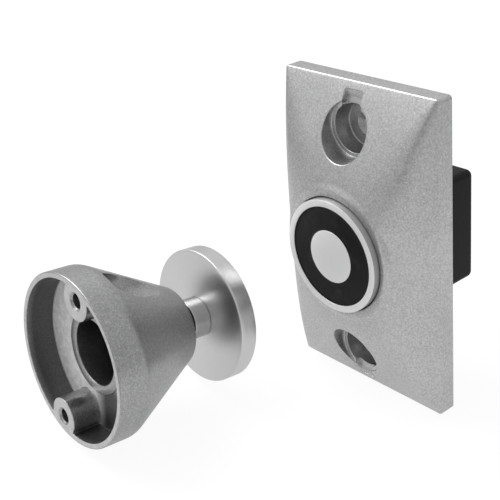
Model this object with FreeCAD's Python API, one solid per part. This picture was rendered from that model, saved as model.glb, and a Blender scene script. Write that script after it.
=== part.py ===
import FreeCAD
import Part
import math
import os

# Electromagnetic door holder: a wall unit with the magnet, and a door unit with the armature.
# Millimetres. +Z is up, the wall unit faces -Y, and the origin is the centre of its back face,
# on the magnet's axis, half way between its two mounting screws.

V = FreeCAD.Vector
X_AXIS, Y_AXIS, Z_AXIS = V(1, 0, 0), V(0, 1, 0), V(0, 0, 1)

# How close to a plane the middle of an edge lies where the edge is picked out by that plane
NEAR = 0.1

# Face plate: a hollow casting with a flat edge and four facets that rise to a round lip
PLATE_W = 68.3
PLATE_H = 114.3
EDGE_T = 6.3
PLATE_CORNER_R = 1.2
PLATE_EDGE_R = 0.7
FACET_RISE = 14.1
FACET_CROWN = 1.1
LIP_STEP = 0.6
LIP_WALL = 1.8
LIP_EDGE_R = 0.4
FACET_TUCK = 0.9
RIDGE_R = 1.5
RIDGE_SHARE = 0.13
SIDE_WALL = 3.0
FRONT_WALL = 4.0
COLLAR_WALL = 3.0

# Screw pockets, one above and one below the magnet
SCREW_SPACING = 83.3
POCKET_R = 9.8
POCKET_LEDGE = 1.6
POCKET_LEDGE_Y = 9.3
POCKET_FLOOR = 2.5
POCKET_WALL = 2.2
WALL_HOLE_R = 2.4
WALL_SINK_R = 4.0
WALL_SINK_DEPTH = 1.2
NOTCH_W = 8.2
NOTCH_FLOOR = 7.3
NOTCH_END = 54.6

# Magnet: steel pot, core, bobbin, winding and potting
MAGNET_OD = 40.8
MAGNET_GAP = 0.4
MAGNET_PROUD = 1.7
POT_WALL = 2.4
POT_BASE = 3.5
POT_EDGE = 0.3
CORE_D = 19.0
POTTING_RECESS = 0.4
POTTING_T = 2.4
BOBBIN_WALL = 0.9
BOBBIN_CLEAR = 0.1
BOBBIN_RIM_CLEAR = 0.4
LEAD_HOLE_R = 1.4
LEAD_HOLE_X = 13.0

# What holds the magnet: a bar let into the back of the plate
BRACKET_W = 61.0
BRACKET_H = 22.0
BRACKET_T = 2.0
BRACKET_CLEAR = 0.2
FIXING_REACH = 27.3
FIXING_BOSS_R = 3.7
FIXING_R = 1.5
FIXING_DEPTH = 8.0
FIXING_CLEAR = 0.3
FIXING_HEAD_R = 2.8
FIXING_HEAD_T = 1.8
MAGNET_SCREW_R = 2.5
MAGNET_SCREW_HEAD_R = 5.0
MAGNET_SCREW_HEAD_T = 3.6
MAGNET_SCREW_EDGE_R = 0.4
MAGNET_SCREW_GRIP = 8.5
HEX_SOCKET = 4.0
WASHER_T = 1.3
WASHER_R = 4.6
WASHER_SPLIT = 0.8
WASHER_CLEAR = 0.1

# Black moulded housing behind the plate
HOUSING_SIDE = 41.4
HOUSING_DEPTH = 27.4
HOUSING_WALL = 2.2
HOUSING_R = 2.4
EAR_W = 12.0
EAR_T = 2.5
EAR_MARGIN = 4.4
WINDOW_W = 24.0
WINDOW_H = 14.0
POST_X = 13.5
POST_Z = 12.5
POST_R = 2.8
BOARD_SCREW_R = 1.2
BOARD_SCREW_L = 7.0

# What is on the board
BOARD_SIDE = 34.0
BOARD_T = 1.6
BOARD_CLEAR = 0.2
BOARD_STAND = 10.8
RECTIFIER_SIDE = 8.4
RECTIFIER_T = 3.2
RECTIFIER_BEVEL = 0.5
RECTIFIER_X, RECTIFIER_Z = -9.0, 7.0
VARISTOR_R = 4.4
VARISTOR_T = 3.4
VARISTOR_X, VARISTOR_Z = 11.0, 4.0
VARISTOR_LIFT = 1.0
LEAD_R = 0.4
POLES = 3
POLE_PITCH = 7.2
BARRIER_T = 1.0
BARRIER_RISE = 2.5
TERMINAL_H = 12.4
TERMINAL_BASE = 6.0
CLAMP_SIDE = 5.4
CLAMP_T = 0.8
TERMINAL_SCREW_R = 1.2
TERMINAL_HEAD_R = 2.2
TERMINAL_HEAD_T = 1.5
TERMINAL_SCREW_L = 4.5
SCREW_SLOT = 0.7

# Door unit: cast housing, measured along its own axis from the rim to the armature
RIM_R = 31.5
RIM_WALL = 2.1
RIM_EDGE_R = 0.5
BAND_L = 11.0
SHOULDER_R = 2.5
HOUSING_L = 44.0
NOSE_R = 14.1
NOSE_EDGE_R = 1.5
TUBE_BORE_R = 12.0
TUBE_WALL = 3.5
TUBE_PROUD = 1.0
TUBE_EDGE = 0.5
NOSE_SHELF = 2.5
NOSE_HOLE_R = 6.0
BOSS_R = 7.0
DOOR_SCREW_RING_R = 25.6
DOOR_HOLE_R = 2.6
DOOR_HOLE_MOUTH_R = 3.1
BOSS_TURN = 74.5
SCALLOP_R = 6.3
SCALLOP_SEAT = 1.5

# Ball swivel inside the nose
BALL_R = 7.5
BALL_BACK = 6.0
SEAT_CLEAR = 0.1
SEAT_RUN = 0.05
SEAT_SPLIT = 0.6
FRONT_SEAT_L = 7.1
REAR_SEAT_L = 7.2
THROAT_FLARE = 9.0
SPRING_CLEAR = 0.1
SPRING_T = 0.8
SPRING_RISE = 0.6
SPRING_HOLE_R = 6.5
SPRING_RIM_CLEAR = 0.3
RING_T = 1.2
RING_GROOVE = 0.9
RING_BAND = 2.6
RING_MOUTH = 60.0

# Armature: steel disc on a turned post
DISC_R = 25.4
DISC_T = 6.7
DISC_EDGE = 0.4
NECK_R = 4.5
NECK_SHOWN = 4.3
HUB_R = 7.6
HUB_L = 7.1
HUB_EDGE = 0.7
SPIGOT_R = 5.0
SPIGOT_L = 2.5
DISC_SCREW_R = 3.0
DISC_SCREW_HEAD_R = 6.0
DISC_SCREW_HEAD_T = 3.0
DISC_SCREW_L = 12.0

# The door unit lies beside the wall unit, on its shoulder and the edge of the disc
DOOR_UNIT_X = -48.4
DOOR_UNIT_Y = -101.2

# Sizes that follow from the ones above
FACET_TOP = EDGE_T + FACET_RISE
LIP_Y = FACET_TOP + LIP_STEP
BORE_R = MAGNET_OD / 2 + MAGNET_GAP
LIP_R = BORE_R + LIP_WALL
FACET_HALF = LIP_R - FACET_TUCK
MAGNET_FACE = LIP_Y + MAGNET_PROUD
POT_REAR = BRACKET_T
POCKET_Z = SCREW_SPACING / 2
BOARD_FRONT = HOUSING_DEPTH - HOUSING_WALL - BOARD_STAND - BOARD_T
BOARD_REAR = BOARD_FRONT + BOARD_T
BALL_PLACE = HOUSING_L - NOSE_SHELF - SEAT_CLEAR - FRONT_SEAT_L - SEAT_SPLIT / 2
DISC_PLACE = HOUSING_L + NECK_SHOWN + HUB_L
REST_PITCH = math.degrees(math.atan2(RIM_R - DISC_R, DISC_PLACE + DISC_T - BAND_L))
REST_LIFT = RIM_R * math.cos(math.radians(REST_PITCH)) + BAND_L * math.sin(math.radians(REST_PITCH))
DOOR_UNIT_Z = REST_LIFT - PLATE_H / 2


def rod(r, y0, y1, x=0.0, z=0.0):
    """A cylinder along Y between two depths."""
    low, high = min(y0, y1), max(y0, y1)
    return Part.makeCylinder(r, high - low, V(x, low, z), Y_AXIS)


def tube(r_out, r_in, y0, y1, x=0.0, z=0.0):
    return rod(r_out, y0, y1, x, z).cut(rod(r_in, y0, y1, x, z))


def taper(r0, y0, r1, y1, x=0.0, z=0.0):
    """A cone along Y, r0 wide at y0 and r1 wide at y1, with y1 above y0."""
    return Part.makeCone(r0, r1, y1 - y0, V(x, y0, z), Y_AXIS)


def block(w, y0, y1, h, x=0.0, z=0.0):
    """A box centred on (x, z), w wide and h high, between two depths."""
    low, high = min(y0, y1), max(y0, y1)
    return Part.makeBox(w, high - low, h, V(x - w / 2, low, z - h / 2))


def turned(profile):
    """A solid of revolution about Y from a closed outline of (radius, y) points."""
    points = [V(r, y, 0) for r, y in profile]
    face = Part.Face(Part.makePolygon(points + [points[0]]))
    return face.revolve(V(0, 0, 0), Y_AXIS, 360)


def frustum(half_w0, half_h0, y0, half_w1, half_h1, y1):
    """A solid with flat facets between two rectangles that face each other along Y."""
    def ring(half_w, half_h, y):
        return [V(-half_w, y, -half_h), V(half_w, y, -half_h), V(half_w, y, half_h), V(-half_w, y, half_h)]
    a, b = ring(half_w0, half_h0, y0), ring(half_w1, half_h1, y1)
    faces = [Part.Face(Part.makePolygon(r + [r[0]])) for r in (a, b)]
    for i in range(4):
        j = (i + 1) % 4
        faces.append(Part.Face(Part.makePolygon([a[i], a[j], b[j], b[i], a[i]])))
    solid = Part.makeSolid(Part.makeShell(faces))
    if solid.Volume < 0:
        solid.reverse()
    return solid


def round_edges(shape, radius, wanted):
    """Fillet every edge whose midpoint passes the test given."""
    return shape.makeFillet(radius, [e for e in shape.Edges if wanted(e, e.CenterOfMass)])


def pan_screw(head_r, head_t, shank_r, length, y_seat, x, z):
    """A pan-head screw that points to -Y, with its head's underside at y_seat."""
    head = rod(head_r, y_seat, y_seat + head_t, x, z)
    head = round_edges(head, head_t * 0.45, lambda e, c: c.y > y_seat + head_t * 0.9)
    slot = block(head_r * 3, y_seat + head_t * 0.5, y_seat + head_t * 2, SCREW_SLOT, x, z)
    return head.cut(slot).fuse(rod(shank_r, y_seat, y_seat - length, x, z))


def in_door_unit(shape):
    """Carry a piece from the door unit's own axis (rim plane at y = 0) to where the unit lies."""
    placed = shape.copy()
    placed.Placement = FreeCAD.Placement(
        V(DOOR_UNIT_X, DOOR_UNIT_Y, DOOR_UNIT_Z), FreeCAD.Rotation(X_AXIS, -REST_PITCH)
    ).multiply(placed.Placement)
    return placed


# Face plate

def crowned(low, top):
    """Arc from the edge band up to the flat top, bulged by the facets' crown."""
    (u0, y0), (u1, y1) = low, top
    middle = V((u0 + u1) / 2, (y0 + y1) / 2 - FACET_CROWN, 0)
    return Part.Arc(V(u0, y0, 0), middle, V(u1, y1, 0)).toShape()


def facet_pair(half, half_along):
    """Solid under two opposite crowned facets, drawn across X and drawn out along Z."""
    low, top = (half, -EDGE_T), (FACET_HALF, -FACET_TOP)
    right, left = crowned(low, top), crowned((-low[0], low[1]), (-top[0], top[1]))
    wire = Part.Wire([right, Part.makeLine(V(top[0], top[1], 0), V(-top[0], top[1], 0)), left,
                      Part.makeLine(V(-low[0], low[1], 0), V(low[0], low[1], 0))])
    solid = Part.Face(wire).extrude(V(0, 0, 2 * half_along))
    solid.translate(V(0, 0, -half_along))
    return solid


def ridge_turned():
    """Solid of revolution that turns the ridges off, from the lip out to the plate's corners."""
    corner = math.hypot(PLATE_W, PLATE_H) / 2
    wire = Part.Wire([Part.makeLine(V(0, 0, 0), V(0, -FACET_TOP, 0)),
                      Part.makeLine(V(0, -FACET_TOP, 0), V(LIP_R, -FACET_TOP, 0)),
                      crowned((corner, -EDGE_T), (LIP_R, -FACET_TOP)),
                      Part.makeLine(V(corner, -EDGE_T, 0), V(corner, 0, 0)),
                      Part.makeLine(V(corner, 0, 0), V(0, 0, 0))])
    return Part.Face(wire).revolve(V(0, 0, 0), Y_AXIS, 360)


def plate_outside():
    """Edge band and four crowned facets, their ridges turned off and rounded. Beside a narrow
    sloped wall the ridges' rounding shrinks with it."""
    slab = block(PLATE_W, 0, -EDGE_T, PLATE_H)
    ends = facet_pair(PLATE_H / 2, PLATE_W / 2)
    ends.rotate(V(0, 0, 0), Y_AXIS, 90)
    facets = facet_pair(PLATE_W / 2, PLATE_H / 2).common(ends)
    body = slab.fuse(facets).removeSplitter().common(ridge_turned()).removeSplitter()

    def ridge(edge, c):
        return -FACET_TOP + NEAR < c.y < -EDGE_T - NEAR and abs(c.x) > 1 and abs(c.z) > 1
    sloped_wall = PLATE_W / 2 - LIP_R
    body = round_edges(body, min(RIDGE_R, RIDGE_SHARE * sloped_wall), ridge)
    outline = block(PLATE_W, 0, -FACET_TOP, PLATE_H)
    outline = round_edges(outline, PLATE_CORNER_R, lambda e, c: abs(c.x) > 1 and abs(c.z) > 1)
    body = body.common(outline)
    lip = rod(LIP_R, -EDGE_T / 2, -LIP_Y)
    lip = round_edges(lip, LIP_EDGE_R, lambda e, c: c.y < -LIP_Y + NEAR)
    return body.fuse(lip).removeSplitter()


def plate_hollow():
    """The space behind the facets, less the tubes and bosses that stand in it."""
    half_w, half_h = PLATE_W / 2 - SIDE_WALL, PLATE_H / 2 - SIDE_WALL
    shelf = EDGE_T - FRONT_WALL
    top = FACET_TOP - FRONT_WALL
    half_top = FACET_HALF - SIDE_WALL / 2
    hollow = block(2 * half_w, EDGE_T, -shelf, 2 * half_h)
    hollow = hollow.fuse(frustum(half_w, half_h, -shelf, half_top, half_top, -top)).removeSplitter()
    keep = [rod(BORE_R + COLLAR_WALL, 0, -LIP_Y)]
    for side in (-1, 1):
        keep.append(rod(POCKET_R + POCKET_WALL, 0, -LIP_Y, 0, side * POCKET_Z))
        keep.append(rod(FIXING_BOSS_R, 0, -LIP_Y, side * FIXING_REACH, 0))
        keep.append(rod(FIXING_BOSS_R, 0, -LIP_Y, 0, side * FIXING_REACH))
    for solid in keep:
        hollow = hollow.cut(solid)
    return hollow


def notch_cut():
    """Slot with a flat floor from the upper pocket, which all but runs out near the top edge."""
    length = NOTCH_END - POCKET_Z
    return block(NOTCH_W, -NOTCH_FLOOR, -2 * FACET_TOP, length, 0, POCKET_Z + length / 2)


def face_plate():
    body = plate_outside().cut(plate_hollow())
    body = body.cut(rod(BORE_R, EDGE_T, -2 * LIP_Y))
    notch = notch_cut()
    for side in (-1, 1):
        z = side * POCKET_Z
        body = body.cut(rod(POCKET_R, -POCKET_LEDGE_Y, -2 * LIP_Y, 0, z))
        body = body.cut(rod(POCKET_R - POCKET_LEDGE, -POCKET_FLOOR, -2 * LIP_Y, 0, z))
        body = body.cut(rod(WALL_HOLE_R, EDGE_T, -EDGE_T, 0, z))
        body = body.cut(taper(WALL_SINK_R, -POCKET_FLOOR, WALL_HOLE_R, -POCKET_FLOOR + WALL_SINK_DEPTH, 0, z))
        body = body.cut(rod(FIXING_R, EDGE_T, -FIXING_DEPTH, side * FIXING_REACH, 0))
        body = body.cut(rod(FIXING_R, EDGE_T, -FIXING_DEPTH, 0, side * FIXING_REACH))
        body = body.cut(notch if side > 0 else notch.mirror(V(0, 0, 0), Z_AXIS))
    recess = block(BRACKET_W + 2 * BRACKET_CLEAR, EDGE_T, -BRACKET_T, BRACKET_H + 2 * BRACKET_CLEAR)
    return body.cut(recess)


# Magnet

def magnet_pot():
    outer, inner = MAGNET_OD / 2, MAGNET_OD / 2 - POT_WALL
    pot = turned([
        (0, -POT_REAR), (outer, -POT_REAR), (outer, -MAGNET_FACE + POT_EDGE), (outer - POT_EDGE, -MAGNET_FACE),
        (inner, -MAGNET_FACE), (inner, -POT_REAR - POT_BASE), (0, -POT_REAR - POT_BASE),
    ])
    pot = pot.cut(rod(MAGNET_SCREW_R + FIXING_CLEAR, 0, -POT_REAR - POT_BASE - 1))
    for side in (-1, 1):
        pot = pot.cut(rod(LEAD_HOLE_R, 0, -POT_REAR - POT_BASE - 1, side * LEAD_HOLE_X))
    return pot


def magnet_core():
    root = POT_REAR + POT_BASE
    core = rod(CORE_D / 2, -root, -MAGNET_FACE)
    return core.cut(rod(MAGNET_SCREW_R, -root, -root - MAGNET_SCREW_GRIP - 1))


def bobbin_span():
    """Depths of the bobbin's two ends, from the pot's floor to the potting."""
    return -(POT_REAR + POT_BASE + BOBBIN_CLEAR), -(MAGNET_FACE - POTTING_RECESS - POTTING_T)


def coil_bobbin():
    rear, front = bobbin_span()
    inner = CORE_D / 2 + BOBBIN_CLEAR
    rim = MAGNET_OD / 2 - POT_WALL - BOBBIN_RIM_CLEAR
    body = tube(inner + BOBBIN_WALL, inner, rear, front)
    body = body.fuse(tube(rim, inner, rear, rear - BOBBIN_WALL))
    return body.fuse(tube(rim, inner, front, front + BOBBIN_WALL)).removeSplitter()


def coil_winding():
    rear, front = bobbin_span()
    inner = CORE_D / 2 + BOBBIN_CLEAR + BOBBIN_WALL
    rim = MAGNET_OD / 2 - POT_WALL - 2 * BOBBIN_RIM_CLEAR
    return tube(rim, inner, rear - BOBBIN_WALL, front + BOBBIN_WALL)


def potting_ring():
    face = -(MAGNET_FACE - POTTING_RECESS)
    return tube(MAGNET_OD / 2 - POT_WALL, CORE_D / 2, face, face + POTTING_T)


# Fixing of the magnet

def magnet_bracket():
    bar = block(BRACKET_W, 0, -BRACKET_T, BRACKET_H)
    bar = round_edges(bar, BRACKET_T, lambda e, c: abs(c.x) > 1 and abs(c.z) > 1)
    bar = bar.cut(rod(MAGNET_SCREW_R + FIXING_CLEAR, 1, -BRACKET_T - 1))
    for side in (-1, 1):
        bar = bar.cut(rod(FIXING_R + FIXING_CLEAR, 1, -BRACKET_T - 1, side * FIXING_REACH))
        bar = bar.cut(rod(LEAD_HOLE_R + FIXING_CLEAR, 1, -BRACKET_T - 1, side * LEAD_HOLE_X))
    return bar


def bracket_screws():
    return Part.makeCompound([
        pan_screw(FIXING_HEAD_R, FIXING_HEAD_T, FIXING_R, FIXING_DEPTH, 0, side * FIXING_REACH, 0)
        for side in (-1, 1)
    ])


def lock_washer():
    ring = tube(WASHER_R, MAGNET_SCREW_R + WASHER_CLEAR, 0, WASHER_T)
    return ring.cut(block(WASHER_SPLIT, -1, WASHER_T + 1, WASHER_R * 2, 0, WASHER_R))


def magnet_screw():
    length = WASHER_T + POT_REAR + POT_BASE + MAGNET_SCREW_GRIP
    head_top = WASHER_T + MAGNET_SCREW_HEAD_T
    screw = rod(MAGNET_SCREW_HEAD_R, WASHER_T, head_top)
    screw = round_edges(screw, MAGNET_SCREW_EDGE_R, lambda e, c: c.y > head_top - NEAR)
    socket = hexagon(HEX_SOCKET, MAGNET_SCREW_HEAD_T * 0.6, head_top)
    return screw.fuse(rod(MAGNET_SCREW_R, WASHER_T, WASHER_T - length)).cut(socket)


def hexagon(across, depth, y_top):
    """A hexagonal prism along Y that ends at y_top."""
    r = across / math.sqrt(3)
    points = [V(r * math.cos(i * math.pi / 3), y_top - depth, r * math.sin(i * math.pi / 3)) for i in range(6)]
    return Part.Face(Part.makePolygon(points + [points[0]])).extrude(V(0, 2 * depth, 0))


# Housing behind the plate

def rear_housing():
    box = block(HOUSING_SIDE, 0, HOUSING_DEPTH, HOUSING_SIDE)
    box = round_edges(box, HOUSING_R, lambda e, c: c.y > NEAR)
    inside = HOUSING_SIDE - 2 * HOUSING_WALL
    box = box.cut(block(inside, -1, HOUSING_DEPTH - HOUSING_WALL, inside))
    box = box.cut(block(WINDOW_W, 0, HOUSING_DEPTH + 1, WINDOW_H))
    ear_h = FIXING_REACH + EAR_MARGIN - HOUSING_SIDE / 2 + HOUSING_WALL
    for side in (-1, 1):
        ear = block(EAR_W, 0, EAR_T, ear_h, 0, side * (FIXING_REACH + EAR_MARGIN - ear_h / 2))
        ear = round_edges(ear, EAR_T, lambda e, c: abs(c.x) > 1 and abs(c.z) > FIXING_REACH)
        ear = ear.cut(rod(FIXING_R + FIXING_CLEAR, -1, EAR_T + 1, 0, side * FIXING_REACH))
        box = box.fuse(ear)
        post = rod(POST_R, BOARD_REAR, HOUSING_DEPTH - HOUSING_WALL / 2, side * POST_X, side * POST_Z)
        post = post.cut(rod(BOARD_SCREW_R, BOARD_REAR, BOARD_REAR + BOARD_SCREW_L, side * POST_X, side * POST_Z))
        box = box.fuse(post)
    return box.removeSplitter()


def housing_screws():
    return Part.makeCompound([
        pan_screw(FIXING_HEAD_R, FIXING_HEAD_T, FIXING_R, FIXING_DEPTH + EAR_T, EAR_T, 0, side * FIXING_REACH)
        for side in (-1, 1)
    ])


def circuit_board():
    board = block(BOARD_SIDE, BOARD_FRONT, BOARD_REAR, BOARD_SIDE)
    for side in (-1, 1):
        board = board.cut(rod(BOARD_SCREW_R, BOARD_FRONT - 1, BOARD_REAR + 1, side * POST_X, side * POST_Z))
    return board


def board_screws():
    screws = []
    for side in (-1, 1):
        screw = pan_screw(BOARD_SCREW_R * 2, BOARD_SCREW_R * 1.3, BOARD_SCREW_R, BOARD_T + BOARD_SCREW_L, 0, 0, 0)
        screw.rotate(V(0, 0, 0), Z_AXIS, 180)
        screw.translate(V(side * POST_X, BOARD_FRONT, side * POST_Z))
        screws.append(screw)
    return Part.makeCompound(screws)


def rectifier():
    body = block(RECTIFIER_SIDE, BOARD_FRONT - RECTIFIER_T, BOARD_FRONT, RECTIFIER_SIDE, RECTIFIER_X, RECTIFIER_Z)
    face = BOARD_FRONT - RECTIFIER_T
    return body.makeChamfer(RECTIFIER_BEVEL, [e for e in body.Edges if e.CenterOfMass.y < face + NEAR])


def varistor():
    """A disc on edge, on two wire leads."""
    centre_y = BOARD_FRONT - VARISTOR_LIFT - VARISTOR_R
    disc = Part.makeCylinder(VARISTOR_R, VARISTOR_T, V(VARISTOR_X - VARISTOR_T / 2, centre_y, VARISTOR_Z), X_AXIS)
    disc = round_edges(disc, VARISTOR_T / 4, lambda e, c: e.Length > VARISTOR_R * 4)
    for side in (-1, 1):
        lead_z = VARISTOR_Z + side * VARISTOR_R / 2
        disc = disc.fuse(rod(LEAD_R, BOARD_FRONT, centre_y, VARISTOR_X, lead_z))
    return disc.removeSplitter()


def pole_places():
    return [(i - (POLES - 1) / 2) * POLE_PITCH for i in range(POLES)]


def terminal_block():
    top = BOARD_REAR + TERMINAL_BASE
    width = POLES * POLE_PITCH + BARRIER_T
    body = block(width, BOARD_REAR, top + BARRIER_RISE, TERMINAL_H)
    for x in pole_places():
        body = body.cut(block(POLE_PITCH - BARRIER_T, top, top + 2 * BARRIER_RISE, TERMINAL_H + 2, x))
        body = body.cut(rod(TERMINAL_SCREW_R, top, top - TERMINAL_SCREW_L, x))
    return body


def terminal_clamps():
    top = BOARD_REAR + TERMINAL_BASE
    return Part.makeCompound([
        block(CLAMP_SIDE, top, top + CLAMP_T, CLAMP_SIDE, x).cut(rod(TERMINAL_SCREW_R, top, top + CLAMP_T, x))
        for x in pole_places()
    ])


def terminal_screws():
    seat = BOARD_REAR + TERMINAL_BASE + CLAMP_T
    return Part.makeCompound([
        pan_screw(TERMINAL_HEAD_R, TERMINAL_HEAD_T, TERMINAL_SCREW_R, CLAMP_T + TERMINAL_SCREW_L, seat, x, 0)
        for x in pole_places()
    ])


# Door unit

def door_screw_places():
    turn = math.radians(BOSS_TURN)
    x, z = DOOR_SCREW_RING_R * math.cos(turn), DOOR_SCREW_RING_R * math.sin(turn)
    return [(x, z), (-x, -z)]


def door_housing():
    """One casting: thin band, cone, central tube, two screw bosses and their access scallops."""
    outside = turned([(0, 0), (RIM_R, 0), (RIM_R, BAND_L), (NOSE_R, HOUSING_L), (0, HOUSING_L)])
    outside = round_edges(outside, SHOULDER_R, lambda e, c: abs(c.y - BAND_L) < 0.01 and e.Length > RIM_R * 2)
    outside = round_edges(outside, NOSE_EDGE_R, lambda e, c: c.y > HOUSING_L - 0.01 and e.Length > NOSE_R)
    outside = round_edges(outside, RIM_EDGE_R, lambda e, c: c.y < 0.01 and e.Length > RIM_R)
    mouth = BAND_L - TUBE_PROUD
    cup = rod(RIM_R - RIM_WALL, -1, BAND_L).cut(rod(TUBE_BORE_R + TUBE_WALL, mouth, BAND_L))
    for x, z in door_screw_places():
        cup = cup.cut(rod(BOSS_R, -1, BAND_L, x, z))
    body = outside.cut(cup)
    body = body.cut(rod(TUBE_BORE_R, -1, HOUSING_L - NOSE_SHELF))
    body = body.cut(taper(TUBE_BORE_R + TUBE_EDGE, mouth, TUBE_BORE_R, mouth + TUBE_EDGE))
    body = body.cut(rod(NOSE_HOLE_R, 0, HOUSING_L + 1))
    body = body.cut(rod(TUBE_BORE_R + RING_GROOVE, ring_rear(), ring_rear() + RING_T))
    for x, z in door_screw_places():
        body = body.cut(rod(DOOR_HOLE_R, -1, HOUSING_L, x, z))
        body = body.cut(taper(DOOR_HOLE_MOUTH_R, 0, DOOR_HOLE_R, DOOR_HOLE_MOUTH_R - DOOR_HOLE_R, x, z))
        body = body.cut(rod(SCALLOP_R, BAND_L + SCALLOP_SEAT, HOUSING_L + 1, x, z))
    return in_door_unit(body)


def rear_seat_end():
    """Where the back of the rear seat lies, along the door unit's axis."""
    return BALL_PLACE - SEAT_SPLIT / 2 - REAR_SEAT_L


def ring_rear():
    """Where the retaining ring's back face lies: behind the seat and two dished springs."""
    return rear_seat_end() - SPRING_CLEAR - 2 * (SPRING_T + SPRING_RISE) - RING_T


def ball_space():
    return Part.makeSphere(BALL_R + SEAT_CLEAR, V(0, BALL_PLACE, 0))


def front_seat():
    """Moulded half seat between the ball and the nose shelf, with a flared throat for the neck."""
    front = HOUSING_L - NOSE_SHELF - SEAT_CLEAR
    seat = rod(TUBE_BORE_R - SEAT_RUN, BALL_PLACE + SEAT_SPLIT / 2, front)
    throat = taper(NECK_R, BALL_PLACE, THROAT_FLARE, front + 1)
    return in_door_unit(seat.cut(ball_space()).cut(throat))


def rear_seat():
    """Moulded half seat behind the ball, pressed forward by the springs."""
    seat = rod(TUBE_BORE_R - SEAT_RUN, rear_seat_end(), BALL_PLACE - SEAT_SPLIT / 2)
    return in_door_unit(seat.cut(ball_space()).cut(rod(NECK_R, 0, BALL_PLACE)))


def disc_springs():
    """Two dished spring washers, rim to rim."""
    rim_r = TUBE_BORE_R - SPRING_RIM_CLEAR
    start = ring_rear() + RING_T
    first = turned([
        (SPRING_HOLE_R, start), (rim_r, start + SPRING_RISE),
        (rim_r, start + SPRING_RISE + SPRING_T), (SPRING_HOLE_R, start + SPRING_T),
    ])
    meet = start + SPRING_RISE + SPRING_T
    second = turned([
        (rim_r, meet), (SPRING_HOLE_R, meet + SPRING_RISE),
        (SPRING_HOLE_R, meet + SPRING_RISE + SPRING_T), (rim_r, meet + SPRING_T),
    ])
    return in_door_unit(Part.makeCompound([first, second]))


def retaining_ring():
    """Internal circlip: open ring in the groove of the tube."""
    outer = TUBE_BORE_R + RING_GROOVE
    ring = tube(outer, outer - RING_BAND, ring_rear(), ring_rear() + RING_T)
    half = math.radians(RING_MOUTH / 2)
    far = 2 * outer
    points = [V(0, ring_rear() - 1, 0), V(-far * math.sin(half), ring_rear() - 1, -far * math.cos(half)),
              V(far * math.sin(half), ring_rear() - 1, -far * math.cos(half))]
    mouth = Part.Face(Part.makePolygon(points + [points[0]])).extrude(V(0, RING_T + 2, 0))
    return in_door_unit(ring.cut(mouth))


def armature_post():
    """Ball, neck, hub and spigot, turned from one bar."""
    ball = Part.makeSphere(BALL_R, V(0, BALL_PLACE, 0))
    ball = ball.common(rod(BALL_R + 1, BALL_PLACE - BALL_BACK, BALL_PLACE + BALL_R + 1))
    hub_start = DISC_PLACE - HUB_L
    stem = turned([
        (0, BALL_PLACE), (NECK_R, BALL_PLACE), (NECK_R, hub_start), (HUB_R - HUB_EDGE, hub_start),
        (HUB_R, hub_start + HUB_EDGE), (HUB_R, DISC_PLACE), (SPIGOT_R, DISC_PLACE),
        (SPIGOT_R, DISC_PLACE + SPIGOT_L), (0, DISC_PLACE + SPIGOT_L),
    ])
    face = DISC_PLACE + DISC_T
    post = ball.fuse(stem).cut(rod(DISC_SCREW_R, face - DISC_SCREW_L - 1, face))
    return in_door_unit(post)


def armature_disc():
    face = DISC_PLACE + DISC_T
    disc = turned([
        (SPIGOT_R, DISC_PLACE), (DISC_R - DISC_EDGE, DISC_PLACE), (DISC_R, DISC_PLACE + DISC_EDGE),
        (DISC_R, face - DISC_EDGE), (DISC_R - DISC_EDGE, face), (DISC_SCREW_HEAD_R, face),
        (DISC_SCREW_R, face - DISC_SCREW_HEAD_T), (DISC_SCREW_R, DISC_PLACE + SPIGOT_L),
        (SPIGOT_R, DISC_PLACE + SPIGOT_L),
    ])
    return in_door_unit(disc)


def disc_screw():
    """Countersunk socket screw, flush with the disc's contact face."""
    face = DISC_PLACE + DISC_T
    screw = turned([
        (0, face), (DISC_SCREW_HEAD_R, face), (DISC_SCREW_R, face - DISC_SCREW_HEAD_T),
        (DISC_SCREW_R, face - DISC_SCREW_L), (0, face - DISC_SCREW_L),
    ])
    return in_door_unit(screw.cut(hexagon(HEX_SOCKET, DISC_SCREW_HEAD_T * 0.8, face)))


PIECES = [
    face_plate, magnet_pot, magnet_core, coil_bobbin, coil_winding, potting_ring, magnet_bracket,
    bracket_screws, lock_washer, magnet_screw, rear_housing, housing_screws, circuit_board,
    board_screws, rectifier, varistor, terminal_block, terminal_clamps, terminal_screws,
    door_housing, front_seat, rear_seat, disc_springs, retaining_ring,
    armature_post, armature_disc, disc_screw,
]

os.makedirs("parts", exist_ok=True)
for make in PIECES:
    shape = make()
    shape.exportStep(os.path.join("parts", make.__name__ + ".step"))
    print(make.__name__, "solids", len(shape.Solids), "valid", shape.isValid(), "volume", round(shape.Volume, 1))
print("door unit pitch", round(REST_PITCH, 3), "height of the rim's centre", round(DOOR_UNIT_Z, 3))
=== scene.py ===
import math

import bmesh
import bpy
import numpy as np
from mathutils import Matrix, Vector
from mathutils.geometry import delaunay_2d_cdt


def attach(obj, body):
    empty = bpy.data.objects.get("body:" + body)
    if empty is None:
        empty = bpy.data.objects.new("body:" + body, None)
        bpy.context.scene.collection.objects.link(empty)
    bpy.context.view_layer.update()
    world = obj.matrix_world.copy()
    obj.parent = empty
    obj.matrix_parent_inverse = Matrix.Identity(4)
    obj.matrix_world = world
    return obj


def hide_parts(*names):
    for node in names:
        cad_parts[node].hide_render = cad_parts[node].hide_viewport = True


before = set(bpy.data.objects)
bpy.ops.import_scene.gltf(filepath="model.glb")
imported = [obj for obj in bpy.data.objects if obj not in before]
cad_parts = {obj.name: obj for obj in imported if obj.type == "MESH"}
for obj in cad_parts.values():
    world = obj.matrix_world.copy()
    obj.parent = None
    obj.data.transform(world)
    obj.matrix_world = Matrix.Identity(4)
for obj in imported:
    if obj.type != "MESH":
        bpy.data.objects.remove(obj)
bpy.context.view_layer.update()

# Camera: stands to the right of the pair and above it, as in the photograph.
CAMERA_FOCAL_PX = 1027.4668
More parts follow.
